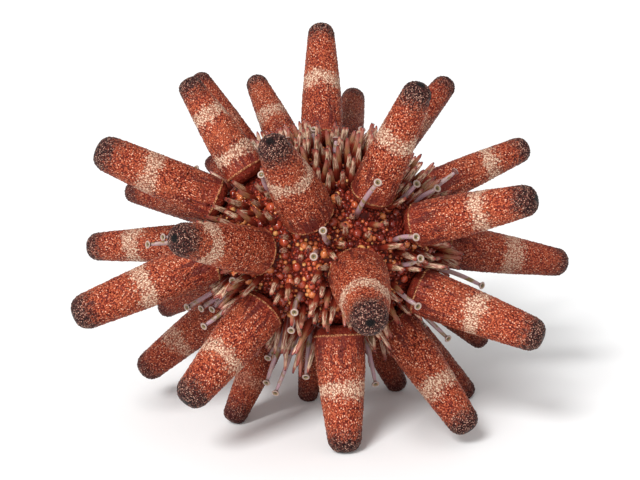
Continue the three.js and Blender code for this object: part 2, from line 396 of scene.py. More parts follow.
def blend(share, first, second):
    made = addNode("ShaderNodeMix", data_type="RGBA")
    fill(pick(made.inputs, name="Factor"), share)
    for name, colour in (("A", first), ("B", second)):
        fill(pick(made.inputs, "RGBA", name), (*colour, 1) if isinstance(colour, tuple) else colour)
    return pick(made.outputs, "RGBA")


# Materials

spineLook = {
    "roughness": 0.4,
    "specular": 0.1,               # low, or the white sky veils the red
    "relief": 0.2 * mm,
    "granule": 0.38 * mm,
    "valley": (0.070, 0.008, 0.006),
    "brick": (0.31, 0.042, 0.018),
    "orange": (0.54, 0.145, 0.064),
    "highlightSpeck": (0.95, 0.58, 0.40),
    "streak": (0.070, 0.011, 0.011),
    "purple": (0.18, 0.022, 0.014),
    "bandHalf": 0.088,             # half the height of the pale band, as a share of the shaft
    "bandEdge": (-0.30, 0.42),     # from none to all of the granules pale
    "bandPatch": 1.4,              # how ragged the band is
    "cream": (0.58, 0.34, 0.23),
    "paleCream": (0.88, 0.70, 0.53),
    "bandValley": (0.24, 0.075, 0.045),
    "tipReach": (1.8, 7.0),        # mm from the end: dark up to the first, and not from the second on
    "tipGranule": 0.32 * mm,
    "tipDark": (0.012, 0.004, 0.004),
    "tipBrown": (0.100, 0.031, 0.025),
    "tipPale": (0.56, 0.31, 0.23),
    "pore": (0.004, 0.003, 0.003),
    "ringHeight": 3.9,             # mm from the root
    "ringGold": (0.66, 0.34, 0.15),
    "neck": (0.15, 0.015, 0.008),
}


# The colours of a long spine follow how far along the shaft a point is, and its granules.
def longSpineMaterial():
    look = spineLook
    newMaterial("spineSkin", look["roughness"], specular=look["specular"])
    along, rise, fromTip = attribute("along"), attribute("rise"), attribute("fromTip")
    bands = separate(attribute("bands", "Vector"))
    spot = attribute("local", "Vector")
    dome, highlightChance, bandChance, tipChance = domes(look["granule"], spot, stretch=(1, 1, 0.8), high=0.82)
    broad = noise(170, detail=3, spot=spot)
    patch = noise(420, detail=4, roughness=0.7, spot=spot)
    fine = noise(2800, detail=2, spot=spot)
    streak = noise(800, detail=2, spot=spot, stretch=(1, 1, 0.16))

    # red granules, darker in the hollows between them as painted shade and lighter on their crowns, a few with a
    # painted highlight
    lit = timesPlus(dome, 0.75, times(minus(fine, 0.4), 0.8))
    lit = shifted(lit, attribute("grain"), 0.2, 0.4)
    skin = ramp(lit, look, (0.06, "valley"), (0.38, "brick"), (0.85, "orange"))
    skin = blend(smooth(broad, 0.45, 0.75, 0.0, 0.25), skin, look["orange"])
    # painted highlight: a pale speck on the crown of a few granules
    crown = smooth(lit, 0.5, 0.85, 0.0, 0.9)
    glint = times(smooth(highlightChance, 0.66, 0.8), crown)
    skin = blend(glint, skin, look["highlightSpeck"])

    # dark streaks and a purple shade towards the ring
    nearBase = smooth(along, 0.08, 0.46, 1.0, 0.0)
    dark = times(smooth(streak, 0.49, 0.60, 0.0, 0.85), nearBase)
    skin = blend(dark, skin, look["streak"])
    nearRing = smooth(timesPlus(patch, 0.16, along), 0.08, 0.30, 0.5, 0.0)
    skin = blend(nearRing, skin, look["purple"])

    # the pale band, whose edge is ragged by whole granules
    half = look["bandHalf"]
    wobble = shifted(along, broad, 0.2)
    offBand = sumUp("MINIMUM", *(sumUp("ABSOLUTE", minus(wobble, bands[axis])) for axis in "XY"))
    likely = smooth(offBand, half * 0.2, half * 1.2, 1.0, 0.0)
    likely = shifted(likely, patch, look["bandPatch"])
    inBand = smooth(minus(likely, bandChance), *look["bandEdge"])
    inBand = times(inBand, smooth(offBand, half, half * 1.5, 0.95, 0.0))
    inBand = times(inBand, bands["Z"])
    # the band's granules too are darker in their hollows, as painted shade
    cream = ramp(lit, look, (0.05, "bandValley"), (0.45, "cream"), (0.9, "paleCream"))
    skin = blend(inBand, skin, cream)

    # the dark tip with its pale specks and its pore
    tipEdge = shifted(shifted(fromTip, patch, 5.0), tipChance, 2.4)
    # the tip's granules are darker in their hollows too, as painted shade
    tipSkin = ramp(lit, look, (0.25, "tipDark"), (0.75, "tipBrown"))
    paleDome, paleChance = domes(look["tipGranule"], spot)[:2]
    pale = times(smooth(paleChance, 0.5, 0.75), smooth(paleDome, 0.3, 0.8, 0.0, 0.9))
    tipSkin = blend(pale, tipSkin, look["tipPale"])
    skin = blend(smooth(tipEdge, *look["tipReach"], 1.0, 0.0), skin, tipSkin)
    skin = blend(smooth(fromTip, 0.03, 0.16, 1.0, 0.0), skin, look["pore"])

    # the neck and the beaded ring
    offRing = sumUp("ABSOLUTE", minus(rise, look["ringHeight"]))
    onRing = smooth(offRing, 0.10, 0.30, 1.0, 0.0)
    beading = timesPlus(fine, 0.7, times(dome, 0.3))
    ringBeads = smooth(beading, 0.4, 0.62, 0.1, 0.9)
    belowRing = smooth(rise, 3.5, 3.8, 1.0, 0.0)
    skin = blend(times(belowRing, 0.5), skin, look["neck"])
    skin = blend(times(onRing, ringBeads), skin, look["ringGold"])

    # painted shade: the spines that lie in shade are darkened towards the valley colour by their shade tone
    skin = blend(minus(1.0, attribute("shadeTone")), skin, look["valley"])
    calm = times(smooth(rise, 3.8, 7.5, 0.45, 1.0), dome)
    return paint(skin, timesPlus(fine, 0.35, calm), look["relief"], 0.85)


shellLook = {
    "granule": 0.8 * mm,
    "relief": 0.35 * mm,
    "valley": (0.050, 0.005, 0.003),
    "deep": (0.17, 0.015, 0.009),
    "red": (0.40, 0.055, 0.022),
    "amber": (0.60, 0.18, 0.055),
    "gold": (0.74, 0.36, 0.12),
}


def shellMaterial():
    look = shellLook
    newMaterial("shellSkin", roughness=0.35, specular=0.12)
    dome, chance = domes(look["granule"], low=0.1, high=0.65)[:2]
    # darker in the hollows between the granules, as painted shade
    lit = timesPlus(chance, 0.3, times(dome, 0.7))
    skin = ramp(lit, look, (0.1, "valley"), (0.5, "deep"), (0.95, "red"))
    return paint(skin, dome, look["relief"], 0.9)


def beadMaterial():
    look = shellLook
    newMaterial("beadSkin", roughness=0.13, specular=0.5)
    speckle = noise(1300, detail=2)
    shade = timesPlus(speckle, 0.5, minus(attribute("tint"), 0.25))
    skin = ramp(shade, look, (0.1, "deep"), (0.55, "red"), (0.86, "amber"), (1.0, "gold"))
    # painted shade where each bead meets the skin: darker towards its foot
    foot = smooth(attribute("crown"), 0.35, 0.9, 0.85, 0.0)
    return paint(blend(foot, skin, look["valley"]))


smallLook = {
    "relief": 0.08 * mm,
    "noiseStep": 60,               # how far their noise is spread
    "foot": (0.085, 0.009, 0.006),
    "red": (0.22, 0.028, 0.014),
    "tan": (0.28, 0.13, 0.050),
    "cream": (0.84, 0.62, 0.42),
    "olive": (0.13, 0.052, 0.020),
    "lilac": (0.38, 0.17, 0.15),
    "rose": (0.34, 0.100, 0.065),
    "tip": (0.22, 0.030, 0.024),
    "pore": (0.02, 0.006, 0.006),
}


# Pale spines with a striped middle, and red ones, each with noise of its own.
def smallSpineMaterial():
    look = smallLook
    newMaterial("smallSpineSkin", roughness=0.22, specular=0.35)
    along, tint = attribute("along"), attribute("tint")
    apart = combine(z=times(tint, look["noiseStep"]))
    spot = addNode("ShaderNodeVectorMath", {0: attribute("local", "Vector"), 1: apart},
                   operation="ADD").outputs["Vector"]
    streak = noise(2.2, detail=3, spot=spot, stretch=(1, 1, 0.7))
    patch = noise(1.6, detail=3, spot=spot, stretch=(1, 1, 2.5))
    place = shifted(along, patch, 0.35)
    pale = ramp(place, look,
        (0.14, "foot"), (0.40, "red"), (0.54, "tan"), (0.66, "cream"),
        (0.80, "cream"), (0.90, "rose"), (1.0, "tip"))
    red = ramp(place, look, (0.1, "foot"), (0.4, "red"), (0.6, "tan"), (0.78, "rose"), (1.0, "tip"))
    stripes = ramp(streak, look, (0.41, "olive"), (0.48, "cream"), (0.52, "lilac"), (0.57, "red"))
    middle = times(smooth(place, 0.38, 0.56), smooth(place, 0.76, 0.9, 1.0, 0.0))
    skin = blend(times(middle, 0.9), pale, stripes)
    skin = blend(smooth(tint, 0.62, 0.7, 0.0, 0.85), skin, red)
    skin = blend(smooth(along, 0.975, 0.995), skin, look["pore"])
    return paint(skin, streak, look["relief"], 0.5)


footLook = {
    "relief": 0.08 * mm,
    "root": (0.14, 0.030, 0.018),
    "olive": (0.25, 0.16, 0.070),
    "grey": (0.42, 0.29, 0.27),
    "lilac": (0.42, 0.25, 0.29),
    "rim": (0.42, 0.30, 0.26),
    "centre": (0.18, 0.12, 0.040),
    "pit": (0.035, 0.022, 0.012),
}


def tubeFootMaterial():
    look = footLook
    newMaterial("tubeFootSkin", roughness=0.3, specular=0.45)
    stalk = ramp(noise(420, detail=3), look, (0.38, "olive"), (0.46, "grey"), (0.56, "lilac"))
    nearRoot = smooth(attribute("along"), 0.05, 0.35, 0.9, 0.0)
    foot = blend(nearRoot, stalk, look["root"])
    disc = ramp(attribute("across"), look,
        (0.0, "pit"), (0.2, "pit"), (0.32, "centre"), (0.5, "centre"), (0.68, "rim"))
    skin = blend(smooth(attribute("disc"), 0.4, 0.6), foot, disc)
    return paint(skin, noise(1500, detail=2), look["relief"], 0.4)


mouthLook = {
    "membraneDark": (0.05, 0.015, 0.012),
    "membraneBrown": (0.22, 0.09, 0.06),
    "membranePale": (0.34, 0.2, 0.14),
    "toothDark": (0.55, 0.45, 0.3),
    "toothPale": (0.85, 0.8, 0.68),
    "membraneRelief": 0.3 * mm,
    "toothRelief": 0.05 * mm,
}


def membraneMaterial():
    look = mouthLook
    newMaterial("membraneSkin", roughness=0.6)
    skin = ramp(noise(700, detail=4), look, (0.35, "membraneDark"), (0.6, "membraneBrown"), (0.8, "membranePale"))
    return paint(skin, noise(1100, detail=3), look["membraneRelief"], 0.7)


def toothMaterial():
    look = mouthLook
    newMaterial("toothEnamel", roughness=0.25, coat=0.3)
    streak = noise(300, detail=3, stretch=(1, 1, 0.2))
    skin = ramp(streak, look, (0.3, "toothDark"), (0.7, "toothPale"))
    return paint(skin, noise(1500, detail=2), look["toothRelief"], 0.3)


longSkin = longSpineMaterial()
shellSkin = shellMaterial()
beadSkin = beadMaterial()
smallSpineSkin = smallSpineMaterial()
tubeFootSkin = tubeFootMaterial()
print("materials ready")


# Long spines

longSpine = {
    "columns": 81,             # a multiple of 3, so that the granules meet all round
    "rows": 96,
    "granule": 0.2 * mm,
    "peak": (0.85, 0.25),      # a granule's height is chance times the first, plus the second
    "valley": 0.35,            # and the height between them is chance times this
    "jitter": 0.75,            # of the space between two points
    "warp": 5.0,               # how many spaces the rows and columns wander
    "warpScale": 3.2,
    "warpRow": 0.075,
    "warpStep": 9.7,           # between the noise of one spine and the next
    "skinStep": 80 * mm,       # and between their skins
    "twist": 1.7,              # how far each is turned on from the last, in radians
    "ringBead": 0.16 * mm,     # how far the ring stands out
    "ringNotch": 0.12 * mm,    # how far every second point of it stands out further
    "ringHalf": 0.25 * mm,
    "collarSteps": 5,
    "shaftSteps": 26,
    "tipSteps": 12,
}


# Half the outline of a spine, from the middle of its socket to the middle of its tip.
def spineOutline(spine):
    thick, tip, length, ring = spine["thick"], spine["tip"], spine["length"], spine["ring"]
    socket, narrow, capStart = reading["socket"], tip / thick, length - tip
    points = [(0, socket), (thick * 0.5, socket), (thick * 0.6, socket + 0.1 * mm)]
    for step in range(longSpine["collarSteps"] + 1):        # the collar flares up to the ring
        share = step / longSpine["collarSteps"]
        height = socket + 0.6 * mm + (ring - socket - 0.75 * mm) * share
        points.append((thick * (0.80 + 0.18 * share ** 0.7), height))
    points += [(thick + longSpine["ringBead"], ring), (thick * 0.985, ring + 0.3 * mm)]
    places = (0.0, 0.13, 0.36, 0.60, 1.0)
    shares = (0.985, 1.0, 1 - 0.15 * (1 - narrow), 1 - 0.42 * (1 - narrow), narrow)
    for step in range(1, longSpine["shaftSteps"]):
        share = step / longSpine["shaftSteps"]
        height = ring + 0.6 * mm + (capStart - ring - 0.6 * mm) * share
        points.append((thick * float(np.interp(share, places, shares)), height))
    for step in range(longSpine["tipSteps"]):               # the rounded tip
        turn = math.pi / 2 * step / longSpine["tipSteps"]
        points.append((tip * math.cos(turn) ** 0.88, capStart + tip * math.sin(turn) ** 0.88))
    return points + [(0, length)]


def outlineObject(points):
    mesh = bpy.data.meshes.new("outline")
    edges = [(i, i + 1) for i in range(len(points) - 1)]
    mesh.from_pydata([(radius, 0, height) for radius, height in points], edges, [])
    return addObject("outline", mesh)


# Sweeps an outline round Z on a grid whose points are raised by turns into granules.
def longSpineTree():
    get = newTree("longSpineTree", {
        "Columns": "Int", "Rows": "Int", "Granule": "Float", "Ring": "Float", "Length": "Float", "Seed": "Int",
        "ShadeTone": "Float", "Bands": "Vector"})
    curve = addNode("GeometryNodeMeshToCurve", {"Mesh": get["Geometry"]}).outputs["Curve"]
    grid = addNode("GeometryNodeMeshGrid", {
        "Size X": 1.0, "Size Y": 1.0, "Vertices X": sumUp("ADD", get["Columns"], 1.0),
        "Vertices Y": get["Rows"]}).outputs["Mesh"]
    index = addNode("GeometryNodeInputIndex").outputs["Index"]
    column = sumUp("FLOOR", sumUp("DIVIDE", sumUp("ADD", index, 0.5), get["Rows"]))
    row = minus(index, times(column, get["Rows"]))
    turnColumn = sumUp("MODULO", column, get["Columns"])
    lastRow = minus(get["Rows"], 1.0)

    # how far each point wanders from its place, in spaces: by chance, and with its neighbours
    cell = combine(turnColumn, row, get["Seed"])
    chance = addNode("ShaderNodeTexWhiteNoise", {"Vector": cell}, noise_dimensions="3D").outputs["Color"]
    chances = addNode("FunctionNodeSeparateColor", {"Color": chance}).outputs
    plainAngle = times(sumUp("DIVIDE", turnColumn, get["Columns"]), 2 * math.pi)
    level = timesPlus(row, longSpine["warpRow"], times(get["Seed"], longSpine["warpStep"]))
    drum = combine(sumUp("COSINE", plainAngle), sumUp("SINE", plainAngle), level)
    warp = addNode("ShaderNodeTexNoise", {"Vector": drum, "Scale": longSpine["warpScale"], "Detail": 1.0})
    warped = addNode("FunctionNodeSeparateColor", {"Color": warp.outputs["Color"]}).outputs
    rowShift, columnShift = (
        shifted(shifted(0.0, chances[name], longSpine["jitter"]), warped[name], longSpine["warp"])
        for name in ("Red", "Green"))

    # the place along the outline, where the first and last row stay at its ends
    plain = sumUp("DIVIDE", row, lastRow)
    factor = sumUp("DIVIDE", sumUp("ADD", row, rowShift), lastRow, clamp=True)
    inside = times(sumUp("GREATER_THAN", row, 0.5), sumUp("LESS_THAN", row, minus(get["Rows"], 1.5)))
    factor = timesPlus(minus(factor, plain), inside, plain)
    sample = addNode("GeometryNodeSampleCurve", {"Curves": curve, "Factor": factor},
                     mode="FACTOR", data_type="FLOAT").outputs
    place, lean = separate(sample["Position"]), separate(sample["Tangent"])

    # the angle, with every other row set off by half a space
    columnShift = timesPlus(sumUp("MODULO", row, 2.0), 0.5, columnShift)
    angle = times(sumUp("DIVIDE", sumUp("ADD", column, columnShift), get["Columns"]), 2 * math.pi)

    # every third point of the staggered rows is a granule, with six low points round it
    slanted = minus(turnColumn, sumUp("FLOOR", times(row, 0.5)))
    third = sumUp("FLOORED_MODULO", timesPlus(row, 2.0, slanted), 3.0)
    high = timesPlus(chances["Blue"], *longSpine["peak"])
    low = times(chances["Blue"], longSpine["valley"])
    stand = timesPlus(minus(high, low), sumUp("LESS_THAN", third, 0.5), low)
    fromRing = minus(place["Z"], get["Ring"])
    nearEnd = minus(get["Length"], place["Z"])
    grain = times(stand, smooth(fromRing, 0.3 * mm, 2.5 * mm, 0.12, 1.0))
    calm = smooth(nearEnd, 0.02 * mm, 0.6 * mm, 0.0, 1.0)
    height = times(grain, times(calm, get["Granule"]))
    onRing = sumUp("LESS_THAN", sumUp("ABSOLUTE", fromRing), longSpine["ringHalf"])
    notch = times(sumUp("MODULO", turnColumn, 2.0), longSpine["ringNotch"])
    height = sumUp("ADD", height, times(onRing, notch))

    radius = timesPlus(lean["Z"], height, place["X"])
    up = timesPlus(lean["X"], times(height, -1.0), place["Z"])
    x = times(radius, sumUp("COSINE", angle))
    y = times(radius, sumUp("SINE", angle))
    local = combine(x, y, timesPlus(get["Seed"], longSpine["skinStep"], up))
    shaftLength = minus(get["Length"], get["Ring"])
    geometry = store(grid, "grain", grain)
    geometry = store(geometry, "shadeTone", get["ShadeTone"])
    geometry = store(geometry, "bands", get["Bands"], "FLOAT_VECTOR")
    geometry = store(geometry, "local", local, "FLOAT_VECTOR")
    geometry = store(geometry, "rise", sumUp("DIVIDE", place["Z"], mm))
    geometry = store(geometry, "fromTip", sumUp("DIVIDE", nearEnd, mm))
    geometry = store(geometry, "along", sumUp("DIVIDE", fromRing, shaftLength))
    swept = addNode("GeometryNodeSetPosition", {"Geometry": geometry, "Position": combine(x, y, up)})
    closed = addNode("GeometryNodeMergeByDistance", {"Geometry": swept.outputs["Geometry"], "Distance": 0.01 * mm})
    cut = addNode("GeometryNodeTriangulate", {"Mesh": closed.outputs["Geometry"]}, quad_method="SHORTEST_DIAGONAL")
    return endTree(shadeSmooth(cut.outputs["Mesh"]), longSkin)


def standUp(mesh, root, along, twist):
    turn = along.to_track_quat("Z", "Y") @ Quaternion((0, 0, 1), twist)
    mesh.transform(Matrix.Translation(root) @ turn.to_matrix().to_4x4())


# Nothing goes below the floor: the standing spines are worn flat there.
def wearFlat(mesh):
    points = np.empty(len(mesh.vertices) * 3)
    mesh.vertices.foreach_get("co", points)
    points = points.reshape(-1, 3)
    points[:, 2] = np.maximum(points[:, 2], 0)
    mesh.vertices.foreach_set("co", points.ravel())
    mesh.update()


# Each long spine's pale band: where it is along the shaft and how strong it is; then how bright the
# spine is painted, below 1 for the spines at the rear and low down, as painted shade. One spine has a second band.
spineLooks = {
    "top": (0.46, 1, 1), "upper_left": (0.60, 1, 1), "upper_left_behind": (0.5, 0.3, 0.75),
    "upper_left_rear": (0.50, 0.9, 0.9), "upper_rear": (0.5, 0.2, 0.6), "upper_right": (0.54, 1, 1),
    "upper_right_behind": (0.45, 0.5, 0.8), "right_high": (0.58, 1, 0.95), "right_front": (0.56, 1, 1),
    "right_long": (0.51, 0.9, 0.66), "right_low": (0.48, 1, 1), "right_low_rear": (0.5, 0.1, 0.55),
    "lower_right": (0.58, 1, 0.95), "lower_front": (0.46, 1, 1), "lower_left": (0.53, 1, 1),
    "lower_left_side": (0.55, 0.7, 0.7), "left_low": (0.50, 1, 1), "left_low_rear": (0.5, 0.1, 0.5),
    "left_middle": (0.59, 1, 0.9), "left_high": (0.55, 0.9, 1), "left_rear": (0.5, 0.15, 0.6),
    "left_back": (0.5, 0.1, 0.5), "front_left": (0.67, 1, 1), "front_up": (0.55, 1, 0.95),
    "front_low": (0.63, 1, 1), "foot_left": (0.6, 0.3, 0.6), "foot_middle": (0.5, 0, 0.5),
    "foot_rear_right": (0.5, 0, 0.45), "foot_right": (0.5, 0.1, 0.55),
}
otherLook = (0.5, 0.9, 0.9)        # the spines that the photo doesn't show
secondBands = {"upper_left": 0.18}
noBand = -5                        # a place far off the shaft


def makeLongSpines():
    tree = longSpineTree()
    for number, spine in enumerate(spines):
        name = spine["node"][len("spine_"):]
        band, strength, shadeTone = spineLooks.get(name, otherLook)
        mesh = runTree(outlineObject(spineOutline(spine)), tree, {
            "Columns": longSpine["columns"], "Rows": longSpine["rows"], "Granule": longSpine["granule"],
            "Ring": spine["ring"], "Length": spine["length"], "Seed": number, "ShadeTone": float(shadeTone),
            "Bands": (band, secondBands.get(name, noBand), strength)})
        standUp(mesh, spine["root"], spine["along"], twist=number * longSpine["twist"])
        wearFlat(mesh)
        keepMesh("long_" + name, mesh, [spine["node"]])


makeLongSpines()
print("long spines made")


# The shell's skin

def makeSkinMesh():
    ball = bmesh.new()
    bmesh.ops.create_icosphere(ball, subdivisions=body["subdivisions"], radius=1)
    mesh = bpy.data.meshes.new("shell_skin")
    ball.to_mesh(mesh)
    ball.free()
    points = np.empty(len(mesh.vertices) * 3)
    mesh.vertices.foreach_get("co", points)
    points = points.reshape(-1, 3) * [body["radius"], body["radius"], body["halfHeight"]]
    normals = points / [body["radius"] ** 2, body["radius"] ** 2, body["halfHeight"] ** 2]
    normals /= np.linalg.norm(normals, axis=1)[:, None]
    lift = np.zeros(len(points))
    for spine in spines:                                    # a raised boss under each long spine
        offset = points - np.array(spine["root"] - centre)
        axis = np.array(spine["along"])
        away = np.linalg.norm(offset - np.outer(offset @ axis, axis), axis=1)
        away[offset @ axis < -body["bossDepth"]] = 1
        edge = spine["thick"] * body["bossShare"]
        share = np.clip((edge * body["bossReach"] - away) / (edge * body["bossSlope"]), 0, 1)
        lift = np.maximum(lift, body["bossHeight"] * easeIn(share))
    points += normals * lift[:, None]
    inMouth = (np.hypot(points[:, 0], points[:, 1]) < body["mouthRadius"]) & (points[:, 2] < 0)
    points[inMouth, 2] = -body["halfHeight"] + body["mouthDepth"]
    mesh.vertices.foreach_set("co", (points + np.array(centre)).ravel())
    covered = mesh.attributes.new("covered", "FLOAT", "POINT")
    covered.data.foreach_set("value", np.maximum(lift / body["bossHeight"], inMouth.astype(float)))
    mesh.polygons.foreach_set("use_smooth", [True] * len(mesh.polygons))
    mesh.materials.append(shellSkin)
    mesh.update()
    return mesh


skinMesh = makeSkinMesh()
keepMesh("shell_skin", skinMesh, ["test"])
print("shell skin made")

grains = {
    "spacing": 1.05 * mm,
    "density": 5000000,
    "radius": 0.66 * mm,
    "smallest": 0.5,
    "largest": 1.15,
    "flatness": 0.85,
    "seed": 4,
}
beads = {
    "spacing": 2.4 * mm,
    "density": 400000,
    "radius": 1.15 * mm,
    "smallest": 0.6,
    "largest": 1.2,
    "flatness": 0.9,
    "seed": 11,
}


# Sets small round beads all over the bare skin.
def beadTree(name, subdivisions):
    get = newTree(name, {
        "Spacing": "Float", "Density": "Float", "Radius": "Float", "Smallest": "Float", "Largest": "Float",
        "Flatness": "Float", "Seed": "Int"})
    bare = sumUp("LESS_THAN", readAttribute("covered"), 0.6)
    spread = addNode("GeometryNodeDistributePointsOnFaces", {
        "Mesh": get["Geometry"], "Selection": bare, "Distance Min": get["Spacing"], "Density Max": get["Density"],
        "Seed": get["Seed"]}, distribute_method="POISSON").outputs
    ball = addNode("GeometryNodeMeshIcoSphere", {"Radius": get["Radius"], "Subdivisions": subdivisions})
    height = sumUp("DIVIDE", separate(nowPosition())["Z"], get["Radius"])
    crown = timesPlus(height, 0.5, 0.5)
    shape = shadeSmooth(store(ball.outputs["Mesh"], "crown", crown))
    wide = randomNumber(7, get["Smallest"], get["Largest"])
    scale = combine(wide, wide, times(wide, get["Flatness"]))
    placed = addNode("GeometryNodeInstanceOnPoints", {
        "Points": spread["Points"], "Instance": shape, "Rotation": spread["Rotation"], "Scale": scale})
    tinted = store(placed.outputs["Instances"], "tint", randomNumber(3), domain="INSTANCE")
    return endTree(tinted, beadSkin)


def makeBeads(name, settings, subdivisions):
    source = addObject("source", skinMesh.copy())
    values = {key.capitalize(): value for key, value in settings.items()}
    mesh = runTree(source, beadTree(name + "Tree", subdivisions), values)
    print(name, len(mesh.polygons), "faces")
    keepMesh(name, mesh)


makeBeads("shell_granules", grains, 1)
makeBeads("shell_beads", beads, 2)


# Small spines between the long ones

small = {
    "radius": 0.84 * mm,
    "profile": [(0.0, 0.88), (0.22, 1.0), (0.55, 0.8), (0.86, 0.54), (0.94, 0.48), (1.0, 0.22)],
    "shortest": 5.6 * mm,
    "longest": 8.8 * mm,
    "lowGrowth": 0.55,             # how much longer they are low on the shell
    "lowStart": 0.45,              # where that starts, in half heights below the middle
    "lowSpan": 0.4,
    # how far one is pushed off the long spine, and the share of its length, until it fits
    "tries": [(0, 1), (0.35, 0.9), (-0.3, 0.8), (0.7, 0.75), (0.3, 0.6), (0.9, 0.5), (0, 0.4)],
    "round": 2.6 * mm,             # between the small spines round the foot of a long one
    "ringGap": 1.4 * mm,           # from the long spine's side to their middle
    "points": 940,                 # of an even spiral that fills the rest of the shell
    "apart": 2.4 * mm,             # the least space between two roots
    "splay": 0.22,                 # how far all lean away from the long spine
    "lean": 0.3,                   # and how far by chance
    "mouthLatitude": -68,
    "sides": 8,
    "rings": 11,
    "bare": [(14, 21, 3), (32, 17, 2.8), (-9, 5, 4.5), (-10, -7, 4)],   # azimuth, latitude, radius in mm
    "stubShare": 0.5,              # of the spines in a bare patch stay, as short stubs
    "stubLength": 0.42,
}

clearance = {
    "gap": 0.3 * mm,
    "granules": 1.03,              # what a long spine's granules add to its thickness
    "taper": 1.5,                  # the power at which its shaft narrows
    "flare": 0.41,                 # how much wider its foot is at the ring than on the boss
    "least": mm,
    "steps": 8,                    # the places along a small spine that are tested
    "narrowing": 0.6,              # how much thinner a small spine is at its end
}


# A long spine is slimmer at its foot, below the ring.
def shaftRadius(spine, height):
    share = height / spine["length"]
    taper = (spine["tip"] - spine["thick"]) * share ** clearance["taper"]
    foot = spine["thick"] * (body["bossShare"] + clearance["flare"] * height / spine["ring"])
    return min(spine["thick"] * clearance["granules"] + taper, foot)


# Whether a small spine or tube foot keeps clear of all long spines.
def isClear(root, along, length, radius):
    for spine in spines:
        for step in range(clearance["steps"] + 1):
            share = step / clearance["steps"]
            offset = root + along * (length * share) - (spine["root"] - centre)
            height = min(max(offset.dot(spine["along"]), 0), spine["length"])
            distance = (offset - spine["along"] * height).length
            thickness = max(shaftRadius(spine, height), clearance["least"])
            if distance < thickness + radius * (1 - share * clearance["narrowing"]) + clearance["gap"]:
                return False
    return True


def isBare(root):
    return any((root - skinPoint(direction(azimuth, latitude))).length < radius * mm
               for azimuth, latitude, radius in small["bare"])


def awayFromSpines(root):
    nearest = min(spines, key=lambda spine: (root - (spine["root"] - centre)).length)
    return (root - (nearest["root"] - centre)).normalized()


# The skin round the foot of each long spine, then the points of an even spiral over the shell.
def smallSpineRoots():
    for spine in spines:
        side = Vector((0, 0, 1)).cross(spine["along"]).normalized()
        other = spine["along"].cross(side)
        reach = spine["thick"] + small["ringGap"]
        count = round(2 * math.pi * reach / small["round"])
        for number in range(count):
            turn = 2 * math.pi * number / count
            around = side * math.cos(turn) + other * math.sin(turn)
            yield skinPoint(spine["root"] - centre + around * reach)
    goldenAngle = math.pi * (3 - math.sqrt(5))
    for number in range(small["points"]):
        height = 1 - (2 * number + 1) / small["points"]
        level = math.sqrt(1 - height * height)
        turn = number * goldenAngle
        yield skinPoint(Vector((level * math.cos(turn), level * math.sin(turn), height)))


# One that a long spine would cover leans away from it and is shorter, or else is left out.
def smallSpinePlaces():
    lowest = body["halfHeight"] * math.sin(math.radians(small["mouthLatitude"]))
    places = []
    for number, root in enumerate(smallSpineRoots()):
        stub = isBare(root)
        if root.z < lowest or (stub and scatter(number, 8) > small["stubShare"]):
            continue
        if any((root - place["root"]).length < small["apart"] for place in places):
            continue
        lean = Vector([(scatter(number, seed) - 0.5) * small["lean"] for seed in (1, 2, 3)])
        low = min(max((-root.z / body["halfHeight"] - small["lowStart"]) / small["lowSpan"], 0), 1)
        length = small["shortest"] + (small["longest"] - small["shortest"]) * scatter(number, 4)
        length *= 1 + small["lowGrowth"] * easeIn(low)
        length *= small["stubLength"] if stub else 1
        away = awayFromSpines(root)
        for push, share in small["tries"]:
            along = (skinNormal(root) + lean + away * (small["splay"] + push)).normalized()
            if isClear(root, along, length * share, small["radius"]):
                places.append({"root": root, "facing": along, "stalk": length * share, "tint": scatter(number, 5)})
                break
    return places


# A point at each root, with what else the places say as attributes.
def pointsObject(places):
    mesh = bpy.data.meshes.new("roots")
    mesh.from_pydata([place["root"] + centre for place in places], [], [])
    for label in list(places[0])[1:]:
        values = [place[label] for place in places]
        if isinstance(values[0], Vector):
            arrows = mesh.attributes.new(label, "FLOAT_VECTOR", "POINT")
            arrows.data.foreach_set("vector", [number for value in values for number in value])
        else:
            mesh.attributes.new(label, "FLOAT", "POINT").data.foreach_set("value", values)
    return addObject("roots", mesh)


# A shape of unit height round a line, whose radius follows a list of places and shares.
def stalkShape(settings, bend=0.0):
    line = addNode("GeometryNodeCurvePrimitiveLine", {"Start": (0, 0, 0), "End": (0, 0, 1)})
    curve = addNode("GeometryNodeResampleCurve", {"Curve": line.outputs["Curve"], "Count": settings["rings"]})
    factor = addNode("GeometryNodeSplineParameter").outputs["Factor"]
    profile = addNode("ShaderNodeFloatCurve", {"Value": factor})
    points = profile.mapping.curves[0].points
    while len(points) < len(settings["profile"]):
        points.new(0.5, 0.5)
    for point, (place, share) in zip(points, settings["profile"]):
        point.location = (place, share)
    profile.mapping.update()
    stored = store(curve.outputs["Curve"], "along", factor)
    circle = addNode("GeometryNodeCurvePrimitiveCircle", {"Resolution": settings["sides"], "Radius": 1.0})
    solid = addNode("GeometryNodeCurveToMesh", {
        "Curve": stored, "Profile Curve": circle.outputs["Curve"], "Scale": profile.outputs["Value"],
        "Fill Caps": True})
    spot = nowPosition()
    shape = store(solid.outputs["Mesh"], "local", spot, "FLOAT_VECTOR")
    if bend:
        arch = sumUp("SINE", times(separate(spot)["Z"], math.pi))
        shape = moved(shape, combine(times(arch, bend)))
    return shadeSmooth(shape)


